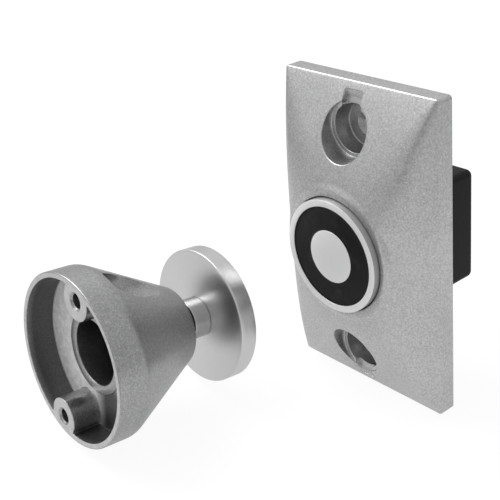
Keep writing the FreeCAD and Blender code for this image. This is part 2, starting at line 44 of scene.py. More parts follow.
CAMERA_TURN = (1.9188, 0.8240, -0.6314)
CAMERA_SHIFT_MM = (44.3075, -5.5691, 359.3866)
FRAME_PX = 500
SENSOR_MM = 36.0
MM = 0.001


def add_object(name, data):
    """A new object in the scene that shows a mesh, a camera or a lamp."""
    obj = bpy.data.objects.new(name, data)
    bpy.context.scene.collection.objects.link(obj)
    return obj


camera_angle = math.sqrt(sum(a * a for a in CAMERA_TURN))
camera_axes = np.array(Matrix.Rotation(camera_angle, 3, [a / camera_angle for a in CAMERA_TURN]))
# The axes of the photograph run right, down and forward, those of a camera right, up and back
camera_place = np.eye(4)
camera_place[:3, :3] = (camera_axes * [[1], [-1], [-1]]).T
camera_place[:3, 3] = -camera_axes.T @ np.array(CAMERA_SHIFT_MM) * MM
camera_data = bpy.data.cameras.new("camera")
camera_data.sensor_width = SENSOR_MM
camera_data.lens = CAMERA_FOCAL_PX / FRAME_PX * SENSOR_MM
camera_data.clip_start, camera_data.clip_end = 0.01, 20.0
camera = add_object("camera", camera_data)
camera.matrix_world = Matrix(camera_place.tolist())
bpy.context.scene.camera = camera


# Face plate: one zinc casting with a flat edge, four facets that rise to a round lip, and two
# stepped screw pockets with a shallow notch each. Blasted look: satin, with a fine sparkle.
PLATE_W, PLATE_H, EDGE_T = 68.3, 114.3, 6.3
PLATE_CORNER_R, PLATE_ROUND = 1.2, 0.38
FACET_TOP, FACET_HALF, FACET_RISE, FACET_CROWN = 20.4, 21.7, 14.1, 1.1
LIP_Y, LIP_R, LIP_RUN, BORE_R = 20.4, 22.6, 2.6, 20.8
RIDGE_CORNER = math.hypot(PLATE_W, PLATE_H) / 2
SIDE_BLEND, SIDE_BLEND_RISE, END_BLEND, END_BLEND_RISE = 1.6, 1.5, 0.2, 1.3
POCKET_Z, POCKET_R, LEDGE_Y, INNER_R, POCKET_FLOOR = 41.65, 9.8, 9.3, 8.2, 2.5
SCREW_HOLE_R, SINK_R, SINK_DEPTH = 2.4, 4.0, 1.2
NOTCH_HALF, NOTCH_END, NOTCH_FLOOR, NOTCH_CORNER = 4.1, 54.6, 7.3, 0.9
SIDE_WALL, COLLAR_R, POCKET_TUBE_R = 3.0, 23.8, 12.0
FIXING_REACH, FIXING_BOSS_R, FIXING_R, FIXING_DEPTH = 27.3, 3.7, 1.5, 8.0
HOLLOW_SHOULDER, HOLLOW_TOP, HOLLOW_TOP_HALF = 2.3, 16.4, 20.2
RECESS_HALF_W, RECESS_HALF_H, RECESS_DEPTH = 30.7, 11.2, 2.0
BACK_EASE, LIP_EASE, LIP_COUNT, RING_COUNT = 0.35, 0.3, 288, 128
FACE_STEP, LEDGE_STEP, BACK_STEP = 0.62, 0.36, 9.0
SHARP_CAST, SHARP_TURNED, SHARP_COPY = 35, 30, 28
# Painted shade on the plate: a band round the outside kept free of it, the depths over which it grows in the
# open and in the pockets, and its darkest share
OUTSIDE_BAND, OPEN_SHADE, POCKET_SHADE, DARKEST_OPEN = 1.2, 3.5, 38.0, 0.4


def soft_min(a, b, blend):
    """The lower of two heights, with the crease between them rounded over the blend distance."""
    h = np.clip(0.5 + 0.5 * (b - a) / blend, 0, 1)
    return b + (a - b) * h - blend * h * (1 - h)


def crowned(height):
    """A facet's height with its slope bulged a little half way between the edge band and the top."""
    up = np.clip((height - EDGE_T) / FACET_RISE, 0, 1)
    return height + FACET_CROWN * 4 * up * (1 - up)


def plate_height(x, z):
    """Height of the front face above the wall: the lowest of the side facets, the end facets and
    a cone that runs from the lip to the plate's corners, with the creases rounded more near the lip."""
    side = EDGE_T + (PLATE_W / 2 - np.abs(x)) * FACET_RISE / (PLATE_W / 2 - FACET_HALF)
    end = EDGE_T + (PLATE_H / 2 - np.abs(z)) * FACET_RISE / (PLATE_H / 2 - FACET_HALF)
    cone = FACET_TOP - (np.hypot(x, z) - LIP_R) * FACET_RISE / (RIDGE_CORNER - LIP_R)
    up = np.clip((np.minimum(np.minimum(side, end), cone) - EDGE_T) / FACET_RISE, 0, 1)
    side, end, cone = crowned(side), crowned(end), crowned(cone)
    beside = soft_min(side, cone, SIDE_BLEND + SIDE_BLEND_RISE * up)
    return soft_min(beside, end, END_BLEND + END_BLEND_RISE * up)


def circle(radius, count, centre=(0.0, 0.0)):
    """Points round a circle, counter-clockwise, and their outward directions."""
    t = np.arange(count) * 2 * np.pi / count
    out = np.stack([np.cos(t), np.sin(t)], 1)
    return np.array(centre) + radius * out, out


def outline_of(corners, radii, step):
    """A closed outline through corners, counter-clockwise, each rounded by its radius with an arc,
    and filled with points about a step apart. Gives the points and their outward directions."""
    corners = np.array(corners, float)
    points = []
    for i, (here, radius) in enumerate(zip(corners, radii)):
        before, after = corners[i - 1], corners[(i + 1) % len(corners)]
        a, b = (before - here) / np.linalg.norm(before - here), (after - here) / np.linalg.norm(after - here)
        half = np.arccos(np.clip(a @ b, -1, 1)) / 2
        reach, middle = radius / np.tan(half), (a + b) / np.linalg.norm(a + b)
        centre = here + middle * radius / np.sin(half)
        p, q = here + a * reach - centre, here + b * reach - centre
        sweep = np.arctan2(p[0] * q[1] - p[1] * q[0], p @ q)
        t = np.linspace(0, sweep, max(3, int(abs(sweep) * radius / step) + 2))
        arc = [p[0] * np.cos(t) - p[1] * np.sin(t), p[0] * np.sin(t) + p[1] * np.cos(t)]
        points.append(centre + np.stack(arc, 1))
    rough = np.concatenate(points)
    filled = []
    for p, q in zip(rough, np.roll(rough, -1, 0)):
        count = max(1, int(round(np.linalg.norm(q - p) / step)))
        filled.append(p + (q - p) * np.arange(count)[:, None] / count)
    return with_normals(np.concatenate(filled))


def with_normals(points):
    """Outward directions of a closed counter-clockwise outline, from the chord between neighbours."""
    chord = np.roll(points, -1, 0) - np.roll(points, 1, 0)
    out = np.stack([chord[:, 1], -chord[:, 0]], 1)
    return points, out / np.linalg.norm(out, axis=1)[:, None]


def row(flat, height):
    """Flat points (across, up) at heights in front of the wall, as points in space."""
    return np.stack([flat[:, 0], -np.broadcast_to(height, flat.shape[:1]), flat[:, 1]], 1)


def rounded(a, b, c, steps=5):
    """Rows or points from a to c on the quadratic curve that has the sharp corner b as its middle point."""
    t = np.linspace(0, 1, steps).reshape(-1, *[1] * np.ndim(b))
    return list((1 - t) ** 2 * a + 2 * t * (1 - t) * b + t ** 2 * c)


def quads_between(m, n, columns):
    """Quads between m successive rows of n points, in so many columns; the n-th leads back to the start."""
    i, j = np.meshgrid(np.arange(m - 1), np.arange(columns), indexing="ij")
    k = (j + 1) % n
    return np.stack([i * n + j, i * n + k, (i + 1) * n + k, (i + 1) * n + j], -1).reshape(-1, 4)


def strip(rows):
    """The points of successive closed rows and the quads between them."""
    rows = np.array(rows)
    m, n = rows.shape[:2]
    return rows.reshape(-1, 3), quads_between(m, n, n)


def inside(points, loop):
    """Even-odd test of flat points against a closed outline."""
    a, b = loop, np.roll(loop, -1, 0)
    hits = np.zeros(len(points), int)
    for start in range(0, len(points), 2000):
        p = points[start:start + 2000, None]
        spans = (a[:, 1] > p[..., 1]) != (b[:, 1] > p[..., 1])
        rise = np.where(b[:, 1] == a[:, 1], 1e-12, b[:, 1] - a[:, 1])
        cross = a[:, 0] + (p[..., 1] - a[:, 1]) * (b[:, 0] - a[:, 0]) / rise
        hits[start:start + 2000] = (spans & (p[..., 0] < cross)).sum(1)
    return hits % 2 == 1


def within(points, loops):
    """Which flat points lie inside the first outline and outside the others."""
    keep = inside(points, loops[0])
    for hole in loops[1:]:
        keep &= ~inside(points, hole)
    return keep


def skin(loops, spacing, lift):
    """A triangle skin over the flat region inside the first outline and outside the others. Points
    stand on a staggered grid, clear of the outlines; lift gives each its place in space."""
    low, high = loops[0].min(0), loops[0].max(0)
    across = np.arange(low[0], high[0], spacing)
    upward = np.arange(low[1], high[1], spacing * 0.866)
    gx, gz = np.meshgrid(across, upward)
    gx = gx + (np.arange(len(upward)) % 2)[:, None] * spacing / 2
    grid = np.stack([gx.ravel(), gz.ravel()], 1)
    grid = grid[within(grid, loops)]
    border = np.concatenate(loops)
    clear = np.ones(len(grid), bool)
    for start in range(0, len(grid), 1000):
        gap = grid[start:start + 1000, None] - border[None]
        clear[start:start + 1000] = (gap ** 2).sum(2).min(1) > (0.55 * spacing) ** 2
    flat = np.concatenate([border, grid[clear]])
    edges, first = [], 0
    for loop in loops:
        n = len(loop)
        edges += [(first + i, first + (i + 1) % n) for i in range(n)]
        first += n
    verts, _, faces, *_ = delaunay_2d_cdt(flat.tolist(), edges, [], 0, 1e-7)
    flat = np.array([(v.x, v.y) for v in verts])
    faces = np.array([f for f in faces if len(f) == 3])
    return lift(flat), faces[within(flat[faces].mean(1), loops)]


def finish_mesh(mesh, sharp):
    """Merge shared borders, turn the faces outwards and shade smooth up to the given angle."""
    work = bmesh.new()
    work.from_mesh(mesh)
    bmesh.ops.remove_doubles(work, verts=work.verts, dist=3e-6)
    bmesh.ops.recalc_face_normals(work, faces=work.faces)
    work.to_mesh(mesh)
    work.free()
    mesh.shade_smooth()
    mesh.set_sharp_from_angle(angle=math.radians(sharp))


def mark_points(mesh, name, share):
    """Store a mark between 0 and 1 for each point, by name: painted shade where little light gets to the
    surface, or where the casting was left rough (rough_cast)."""
    layer = mesh.attributes.new(name, "FLOAT", "POINT")
    layer.data.foreach_set("value", np.clip(share, 0, 1).astype(np.float32))


def mesh_points(mesh):
    """A mesh's points in mm."""
    flat = np.empty(len(mesh.vertices) * 3)
    mesh.vertices.foreach_get("co", flat)
    return flat.reshape(-1, 3) / MM


def piece_of(name, patches, place=None):
    """One object from several patches of (points in mm, faces), moved by place if that is given."""
    points, faces, first = [], [], 0
    for p, f in patches:
        points.append(np.asarray(p, float))
        faces += (np.asarray(f) + first).tolist()
        first += len(p)
    points = np.concatenate(points)
    if place is not None:
        points = place(points)
    mesh = bpy.data.meshes.new(name)
    mesh.from_pydata((points * MM).tolist(), [], faces)
    finish_mesh(mesh, SHARP_CAST)
    return add_object(name, mesh)


def cut_by(obj, cutters):
    """Cut solids out of a piece and remove the cutters."""
    for cutter in cutters:
        step = obj.modifiers.new("cut", "BOOLEAN")
        step.operation, step.solver = "DIFFERENCE", "EXACT"
        step.object = cutter
    shaped = bpy.data.meshes.new_from_object(obj.evaluated_get(bpy.context.evaluated_depsgraph_get()))
    obj.modifiers.clear()
    obj.data = shaped
    for cutter in cutters:
        bpy.data.objects.remove(cutter)
    return obj


def solid(name, loops):
    """A closed solid through successive outlines of the same point count, capped at both ends."""
    points, quads = strip(loops)
    n, m = len(loops[0]), len(loops)
    caps = [list(range(n)), list(range((m - 1) * n, m * n))]
    mesh = bpy.data.meshes.new(name)
    mesh.from_pydata((points * MM).tolist(), [], quads.tolist() + caps)
    finish_mesh(mesh, SHARP_CAST)
    return add_object(name, mesh)


def rod(radius, low, high, centre=(0.0, 0.0), count=96):
    """A cylinder square to the wall, between two heights in front of it."""
    flat = circle(radius, count, centre)[0]
    return solid("rod", [row(flat, low), row(flat, high)])


def rectangle(half_w, half_h):
    """The corners of a rectangle about the origin, counter-clockwise."""
    return np.array([[-half_w, -half_h], [half_w, -half_h], [half_w, half_h], [-half_w, half_h]])


def pocket_floor(x, z):
    """Height of the ledge round the upper pocket's inner bore, with the notch's floor let into it."""
    face = plate_height(x, z)
    ledge = np.minimum(face, LEDGE_Y)
    notch = np.minimum(ledge, NOTCH_FLOOR)
    side = np.clip((NOTCH_HALF + 0.1 - np.abs(x)) / 0.35, 0, 1)
    return ledge + (notch - ledge) * side * side * (3 - 2 * side) * (z > POCKET_Z)


def pocket_patches():
    """The upper pocket: rim, outer wall, ledge with the notch, inner wall, floor and screw hole."""
    lift = math.sqrt(POCKET_R ** 2 - NOTCH_HALF ** 2)
    start = math.atan2(lift, -NOTCH_HALF)
    t = np.linspace(start, 3 * np.pi - start, 150)
    arc = np.stack([POCKET_R * np.cos(t), POCKET_Z + POCKET_R * np.sin(t)], 1)
    turn_t = np.linspace(0, np.pi / 2, 6)
    c = NOTCH_HALF - NOTCH_CORNER, NOTCH_END - NOTCH_CORNER
    right = np.stack([c[0] + NOTCH_CORNER * np.cos(turn_t), c[1] + NOTCH_CORNER * np.sin(turn_t)], 1)
    top = np.stack([np.linspace(c[0], -c[0], 16)[1:-1], np.full(14, NOTCH_END)], 1)
    left = right[::-1] * (-1, 1)
    rise = np.linspace(POCKET_Z + lift, c[1], 7)[1:-1]
    sides = np.stack([np.full(5, NOTCH_HALF), rise], 1)
    edge, out = with_normals(np.concatenate([arc, sides, right, top, left, sides[::-1] * (-1, 1)]))
    face = plate_height(*edge.T)
    deep = face - pocket_floor(edge[:, 0] * 0.985, edge[:, 1])
    lip = np.minimum(0.35, 0.4 * deep)
    rim = edge + out * 0.38
    foot = edge - out * 0.42
    wall = rounded(row(rim, plate_height(*rim.T)), row(edge, face), row(edge, face - lip))
    wall += rounded(row(edge - out * 0.1, face - deep + lip), row(edge - out * 0.12, face - deep),
                    row(foot, pocket_floor(*foot.T)))
    brim, bore = (circle(radius, RING_COUNT, (0.0, POCKET_Z))[0] for radius in (INNER_R + 0.3, INNER_R))
    bore_y = pocket_floor(*bore.T)
    ledge = skin([foot, brim], LEDGE_STEP, lambda p: row(p, pocket_floor(*p.T)))

    def ring(radius, height):
        """A circle of points about the pocket's axis."""
        return row(circle(radius, RING_COUNT, (0.0, POCKET_Z))[0], height)
    inner = rounded(row(brim, pocket_floor(*brim.T)), row(bore, bore_y), row(bore, bore_y - 0.3))
    inner += rounded(ring(INNER_R - 0.1, POCKET_FLOOR + 0.6), ring(INNER_R - 0.12, POCKET_FLOOR),
                     ring(INNER_R - 0.75, POCKET_FLOOR))
    inner += rounded(ring(SINK_R + 0.25, POCKET_FLOOR), ring(SINK_R, POCKET_FLOOR),
                     ring(SINK_R - 0.2, POCKET_FLOOR - 0.15), 4)
    inner += [ring(SCREW_HOLE_R, POCKET_FLOOR - SINK_DEPTH), ring(SCREW_HOLE_R, 0.0)]
    return rim, [strip(wall), ledge, strip(inner)]


def mirrored(patch):
    """The same patch for the lower pocket, turned upside down."""
    return patch[0] * (1, 1, -1), patch[1][:, ::-1]


half_w, half_h = PLATE_W / 2, PLATE_H / 2
plate_edge, plate_out = outline_of(rectangle(half_w, half_h), [PLATE_CORNER_R] * 4, 0.6)
front_edge = plate_edge - plate_out * PLATE_ROUND
back_edge = plate_edge - plate_out * BACK_EASE
brow = rounded(row(front_edge, plate_height(*front_edge.T)), row(plate_edge, plate_height(*plate_edge.T)),
               row(plate_edge, EDGE_T - PLATE_ROUND), 7)
brow += rounded(row(plate_edge, BACK_EASE), row(plate_edge, 0.0), row(back_edge, 0.0), 4)
lip_foot, bore_edge = circle(LIP_R + LIP_RUN, LIP_COUNT)[0], circle(BORE_R, LIP_COUNT)[0]
collar = []
for share in np.linspace(0, 1, 10):
    swell = circle(LIP_R + LIP_RUN - share * (LIP_RUN + 0.5), LIP_COUNT)[0]
    face = plate_height(*swell.T)
    collar.append(row(swell, face + (LIP_Y - face) * share * share * (3 - 2 * share)))
collar += rounded(row(circle(BORE_R + LIP_EASE, LIP_COUNT)[0], LIP_Y), row(bore_edge, LIP_Y),
                  row(bore_edge, LIP_Y - LIP_EASE), 4)
collar += [row(bore_edge, height) for height in (LIP_Y - 0.8, LIP_Y - 2.5, 0.0)]
pocket_rim, pocket = pocket_patches()
front = skin([front_edge, lip_foot, pocket_rim, pocket_rim * (1, -1)], FACE_STEP,
             lambda p: row(p, plate_height(*p.T)))
holes = [circle(SCREW_HOLE_R, RING_COUNT, (0.0, z))[0] for z in (POCKET_Z, -POCKET_Z)]
back = skin([back_edge, bore_edge, *holes], BACK_STEP, lambda p: row(p, 0.0))
casting = piece_of("plate_casting", [front, strip(brow), strip(collar), back, *pocket,
                                     *map(mirrored, pocket)])

# Hollow behind the face: cut out to the side walls, but not the collar, pocket tubes and screw bosses.
# The cutters reach past the faces that they cut, so that no two faces lie in one plane.
wide_end = rectangle(half_w - SIDE_WALL, half_h - SIDE_WALL)
hollow = solid("hollow", [row(wide_end, -1.0), row(wide_end, HOLLOW_SHOULDER),
                          row(rectangle(HOLLOW_TOP_HALF, HOLLOW_TOP_HALF), HOLLOW_TOP)])
fixings = [(s * FIXING_REACH, 0.0) for s in (-1, 1)] + [(0.0, s * FIXING_REACH) for s in (-1, 1)]
stay = [rod(COLLAR_R, -3, 22, count=RING_COUNT)]
stay += [rod(POCKET_TUBE_R, -2, 23, (0.0, s * POCKET_Z)) for s in (-1, 1)]
stay += [rod(FIXING_BOSS_R, -4, 24, spot, 48) for spot in fixings]
hollow = cut_by(hollow, stay)
bar_seat = rectangle(RECESS_HALF_W, RECESS_HALF_H)
recess = solid("recess", [row(bar_seat, -1.0), row(bar_seat, RECESS_DEPTH)])
taps = [rod(FIXING_R, -2, FIXING_DEPTH, spot, 32) for spot in fixings]
casting = cut_by(casting, [hollow, recess, *taps])
finish_mesh(casting.data, SHARP_CAST)

# Painted shade, stored as a mark: none on the outside walls, slow in the pockets, quick in the gap round the
# magnet
x, y, z = mesh_points(casting.data).T
below = plate_height(x, z) + y
in_pocket = np.hypot(x, np.abs(z) - POCKET_Z) < POCKET_R + 0.6
in_gap = np.hypot(x, z) < BORE_R + 0.2
on_outside = (np.abs(x) > half_w - OUTSIDE_BAND) | (np.abs(z) > half_h - OUTSIDE_BAND)
under_face = np.minimum((below - 0.6) / np.where(in_pocket, POCKET_SHADE, OPEN_SHADE), DARKEST_OPEN)
plate_shade = np.where(in_gap, (LIP_Y + y - 0.2) / 0.6, under_face)
mark_points(casting.data, "painted_shade", np.where(on_outside, 0.0, plate_shade))


def node_group(name, inputs, outputs):
    """An empty shader group with named number inputs and outputs, and its two end nodes."""
    group = bpy.data.node_groups.new(name, "ShaderNodeTree")
    for side, labels in (("INPUT", inputs), ("OUTPUT", outputs)):
        for label in labels:
            group.interface.new_socket(label, in_out=side, socket_type="NodeSocketFloat")
    return group, group.nodes.new("NodeGroupInput"), group.nodes.new("NodeGroupOutput")


def feed(tree, sockets, values):
    """Give sockets, by name or number, their values: a number, a colour or another node's output."""
    for key, value in values.items():
        if isinstance(value, bpy.types.NodeSocket):
            tree.links.new(value, sockets[key])
        else:
            sockets[key].default_value = (*value, 1.0) if isinstance(value, tuple) else value


def add_node(tree, kind, inputs=(), **settings):
    """A new shader node with its settings, and then its inputs, filled in."""
    node = tree.nodes.new("ShaderNode" + kind)
    for key, value in settings.items():
        setattr(node, key, value)
    feed(tree, node.inputs, dict(inputs))
    return node


def math_node(tree, operation, *values, clamp=False):
    """The outcome of a Math node; each value is a number or an output socket."""
    return add_node(tree, "Math", enumerate(values), operation=operation, use_clamp=clamp).outputs[0]


def scaled(tree, value, gain, offset=0.0, clamp=False):
    """The value times the gain, plus the offset."""
    return math_node(tree, "MULTIPLY_ADD", value, gain, offset, clamp=clamp)


def noise_node(tree, vector, scale, detail, rough, distort=0.0):
    """Noise between 0 and 1, with the scale as waves to the metre."""
    inputs = {"Vector": vector, "Scale": scale, "Detail": detail, "Roughness": rough, "Distortion": distort}
    return add_node(tree, "TexNoise", inputs).outputs["Fac"]


def mix_colour(tree, factor, a, b):
    """Colour a where the factor is 0, colour b where it is 1."""
    return add_node(tree, "Mix", {0: factor, 6: a, 7: b}, data_type="RGBA").outputs[2]


def object_place(tree):
    """The place of the shaded point in its object's own axes."""
    return add_node(tree, "TexCoord").outputs["Object"]


def stored_mark(tree, name):
    """A mark that was stored on the mesh, 0 where the mesh has none."""
    return add_node(tree, "Attribute", attribute_name=name).outputs["Fac"]


# Cast grain: fine blasted texture with small bright facets of metal in it, and broad soft clouds
GRAIN_FINE, GRAIN_MID, GRAIN_CLOUDS, GRAIN_FACETS, FACET_SHARE = 1650.0, 850.0, 45.0, 3200.0, 0.06
grain, grain_in, grain_out = node_group("cast_grain", ["Sparkle"], ["Tone", "Height", "Fleck"])
where = object_place(grain)
fine = noise_node(grain, where, GRAIN_FINE, 2.0, 0.6)
middling = noise_node(grain, where, GRAIN_MID, 3.0, 0.6)
clouds = noise_node(grain, where, GRAIN_CLOUDS, 3.0, 0.55)
cells = add_node(grain, "TexVoronoi", {"Vector": where, "Scale": GRAIN_FACETS})
pick = add_node(grain, "SeparateColor", {0: cells.outputs["Color"]})
fleck = math_node(grain, "GREATER_THAN", pick.outputs[0], 1 - FACET_SHARE)
tone = scaled(grain, fine, 0.62, scaled(grain, middling, 0.2))
height = scaled(grain, fine, 0.35, scaled(grain, middling, 0.65))
feed(grain, grain_out.inputs, {"Tone": scaled(grain, clouds, 0.18, tone), "Height": height,
                               "Fleck": scaled(grain, fleck, grain_in.outputs["Sparkle"])})


def new_material(name):
    """A material, its node tree and its Principled shader."""
    material = bpy.data.materials.new(name)
    material.use_nodes = True
    return material, material.node_tree, material.node_tree.nodes["Principled BSDF"]


def bump_into(tree, shader, height, distance):
    """Fine relief in the shading: the height times the distance in metres."""
    bump = add_node(tree, "Bump", {"Distance": distance, "Strength": 1.0, "Height": height})
    feed(tree, shader.inputs, {"Normal": bump.outputs["Normal"]})


def cast_metal(name, dark, light, roughness, depth, sparkle):
    """Satin casting: grain in tone and relief, flecks that are brighter and smoother, painted shade down to
    near black where the mesh is marked for it, and chalky and dull where it was left rough as cast."""
    material, tree, shader = new_material(name)
    cast = add_node(tree, "Group", {"Sparkle": sparkle}, node_tree=grain)
    tone, fleck = cast.outputs["Tone"], cast.outputs["Fleck"]
    painted_shade, rough_cast = stored_mark(tree, "painted_shade"), stored_mark(tree, "rough_cast")
    base = mix_colour(tree, scaled(tree, tone, 4.4, -1.7, clamp=True), dark, light)
    base = mix_colour(tree, scaled(tree, fleck, 0.6), base, (0.95, 0.95, 0.95))
    # Painted shade: the colour goes towards near black where the mark says little light gets in
    base = mix_colour(tree, painted_shade, base, tuple(0.15 * c for c in dark))
    pitted = noise_node(tree, object_place(tree), 420.0, 3.0, 0.7)
    pitted = scaled(tree, pitted, 3.0, -1.0, clamp=True)
    chalky = mix_colour(tree, pitted, (0.76, 0.76, 0.76), (1.0, 1.0, 1.0))
    rough = scaled(tree, fleck, -0.12, roughness)
    for amount, share in ((tone, 0.08), (painted_shade, 0.06), (rough_cast, 0.45)):
        rough = scaled(tree, amount, share, rough)
    feed(tree, shader.inputs, {"Base Color": mix_colour(tree, rough_cast, base, chalky), "Roughness": rough,
                               "Metallic": scaled(tree, rough_cast, -0.7, 1.0)})
    bump_into(tree, shader, cast.outputs["Height"], depth)
    return material


plate_metal = cast_metal("satin_plate", (0.46, 0.462, 0.465), (0.66, 0.662, 0.665), 0.30, 0.00003, 0.5)
casting.data.materials.clear()
casting.data.materials.append(plate_metal)
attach(casting, "root")
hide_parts("face_plate")


# Magnet: a steel cup and core, turned and ground on the face, with black resin cast between them.
# The face stands a little proud of the plate's lip.
MAGNET_FACE, MAGNET_REAR, POT_R, POT_INNER_R, CORE_R = 22.7, 2.0, 20.4, 18.0, 9.5
POT_FLOOR, POT_COUNT, CORE_COUNT = 5.5, 256, 192
RESIN_FACE, RESIN_T, WET_RISE, WET_REACH = 22.3, 2.4, 0.18, 0.35


def revolved(profile, count):
    """Rows round the axis, from (radius, height) pairs."""
    return [row(circle(max(r, 1e-4), count)[0], y) for r, y in profile]


def eased(profile, sizes, steps=4):
    """A (radius, height) profile with each inner corner rounded by its size."""
    profile = [np.array(p, float) for p in profile]
    out = [profile[0]]
    for before, here, after, size in zip(profile, profile[1:], profile[2:], sizes):
        if size == 0:
            out.append(here)
            continue
        a = here + (before - here) / np.linalg.norm(before - here) * size
        b = here + (after - here) / np.linalg.norm(after - here) * size
        out += rounded(a, here, b, steps)
    return out + [profile[-1]]


cup = eased([(0, MAGNET_REAR), (POT_R, MAGNET_REAR), (POT_R, MAGNET_FACE), (POT_INNER_R, MAGNET_FACE),
             (POT_INNER_R, POT_FLOOR), (0, POT_FLOOR)], [0.3, 0.13, 0.12, 0.2])
pot = piece_of("magnet_cup", [strip(revolved(cup, POT_COUNT))])
# Painted shade on the cup's outer side, down in the plate's bore round it
x, y, z = mesh_points(pot.data).T
on_side = (np.hypot(x, z) > POT_R - 0.01) & (y > 0.1 - MAGNET_FACE)
mark_points(pot.data, "painted_shade", 0.8 * on_side)
pole = eased([(0, POT_FLOOR), (CORE_R, POT_FLOOR), (CORE_R, MAGNET_FACE), (0, MAGNET_FACE)], [0.2, 0.15])
core = piece_of("magnet_pole", [strip(revolved(pole, CORE_COUNT))])
radii = np.linspace(CORE_R, POT_INNER_R, 30)
edge_gap = np.minimum(radii - CORE_R, POT_INNER_R - radii)
meniscus = RESIN_FACE + WET_RISE * np.exp(-edge_gap / WET_REACH)
resin_profile = [(CORE_R, RESIN_FACE - RESIN_T), *zip(radii, meniscus), (POT_INNER_R, RESIN_FACE - RESIN_T),
                 (CORE_R, RESIN_FACE - RESIN_T)]
resin = piece_of("magnet_resin", [strip(revolved(resin_profile, CORE_COUNT))])

ground_steel, tree, shader = new_material("ground_steel")
where = object_place(tree)
fine = noise_node(tree, where, 1500.0, 3.0, 0.6)
broad = scaled(tree, noise_node(tree, where, 90.0, 3.0, 0.6), 1.6, -0.3, clamp=True)
base = mix_colour(tree, broad, (0.93, 0.935, 0.94), (0.99, 0.99, 0.99))
# Painted shade where the mesh carries the mark: the cup's side in the bore
base = mix_colour(tree, stored_mark(tree, "painted_shade"), base, (0.30, 0.30, 0.30))
feed(tree, shader.inputs, {"Base Color": base, "Roughness": scaled(tree, fine, 0.14, 0.36),
                           "Metallic": 0.45})
bump_into(tree, shader, fine, 0.00001)

resin_black, tree, shader = new_material("resin_black")
where = object_place(tree)
smudge = noise_node(tree, where, 160.0, 4.0, 0.6, 0.6)
cloudy = scaled(tree, noise_node(tree, where, 110.0, 2.0, 0.5), 5.0, -3.1, clamp=True)
cloudy = mix_colour(tree, cloudy, (0.010, 0.010, 0.0105), (0.055, 0.055, 0.055))
feed(tree, shader.inputs, {"Base Color": mix_colour(tree, smudge, (0.004, 0.004, 0.0045), cloudy),
                           "Roughness": scaled(tree, smudge, 0.5, 0.14, clamp=True),
                           "Specular IOR Level": 0.2})
bump_into(tree, shader, noise_node(tree, where, 220.0, 3.0, 0.5), 0.00012)

for piece, node, slot, material in ((pot, "magnet_pot", "magnet_steel", ground_steel),
                                    (core, "magnet_core", "magnet_steel", ground_steel),
                                    (resin, "potting_ring", "potting", resin_black)):
    piece.data.materials.append(material)
    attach(piece, "root")
    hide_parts(node)


# Door housing: one casting that is screwed to the door, open at the rim, with a tube down its
# middle, two screw bosses, and a scallop behind each boss that lets the screw and driver in.
RIM_R, RIM_INNER_R, BAND_L, HOUSING_L, NOSE_R = 31.5, 29.4, 11.0, 44.0, 14.1
TUBE_R, TUBE_BORE_R, TUBE_MOUTH = 15.5, 12.0, 10.0
GROOVE_R, GROOVE_NEAR, GROOVE_FAR, TUBE_END, NECK_HOLE_R = 12.9, 22.4, 23.6, 41.5, 6.0
BOSS_RING_R, BOSS_R, DOOR_HOLE_R, BOSS_TURN = 25.6, 7.0, 2.6, math.radians(74.5)
BOSS_ANGLES = (BOSS_TURN, BOSS_TURN + math.pi)
SCALLOP_R, SCALLOP_SEAT, MOUTH_EASE, SEAT_COUNT = 6.3, 12.5, 0.6, 12
RIM_EASE, RIM_DROP, NOSE_BREAK, RIM_COUNT, HOLE_COUNT = 0.45, 0.55, 41.6, 240, 64
RIM_STEP, CUP_STEP, CONE_STEP, SEAT_STEP = 0.7, 1.0, 1.05, 0.8
DISC_R, DISC_T, DISC_PLACE = 25.4, 6.7, 55.4
REST_PITCH = math.atan2(RIM_R - DISC_R, DISC_PLACE + DISC_T - BAND_L)
DOOR_ASIDE, DOOR_FORWARD, GROUND_Z = -48.4, -101.2, -PLATE_H / 2
DOOR_HEIGHT = GROUND_Z + RIM_R * math.cos(REST_PITCH) + BAND_L * math.sin(REST_PITCH)
DOOR_UNIT = np.array([DOOR_ASIDE, DOOR_FORWARD, DOOR_HEIGHT])
PITCH_AXES = np.array([[1, 0, 0], [0, math.cos(REST_PITCH), -math.sin(REST_PITCH)],
                       [0, math.sin(REST_PITCH), math.cos(REST_PITCH)]])


def in_door_unit(points):
    """From the door unit's own axes, whose second is the depth behind the rim, to where it lies."""
    return points @ PITCH_AXES + DOOR_UNIT


def out_of_door_unit(points):
    """From where the door unit lies back to its own axes."""
    return (points - DOOR_UNIT) @ PITCH_AXES.T


def outer_radius(d):
    """Radius of the housing's outside at depth d: a straight band, then a cone, the shoulder eased."""
    slope = (RIM_R - NOSE_R) / (HOUSING_L - BAND_L)
    return soft_min(np.full_like(d, RIM_R), RIM_R - (d - BAND_L) * slope, 0.9)


def exit_depth(radius):
    """Depth at which the cone has shrunk to a radius."""
    return BAND_L + (RIM_R - radius) * (HOUSING_L - BAND_L) / (RIM_R - NOSE_R)


def depth_row(flat, depth):
    """Flat points at depths behind the rim plane."""
    return row(flat, -np.asarray(depth, float))


def on_cone(along, depth):
    """Points on the housing's outside from angle and depth."""
    r = outer_radius(depth)
    return np.stack([r * np.cos(along), depth, r * np.sin(along)], 1)


def spun(x, z, angle):
    """Flat points turned by an angle about the housing's axis."""
    return np.stack([x * math.cos(angle) - z * math.sin(angle), x * math.sin(angle) + z * math.cos(angle)], 1)


# The cone's skin is laid out flat, as (angle from the seam times ARC, depth), and then wrapped round
ARC = 25.0
first_turn = BOSS_TURN - math.pi / 2
boss_places = [(BOSS_RING_R * math.cos(m), BOSS_RING_R * math.sin(m)) for m in BOSS_ANGLES]


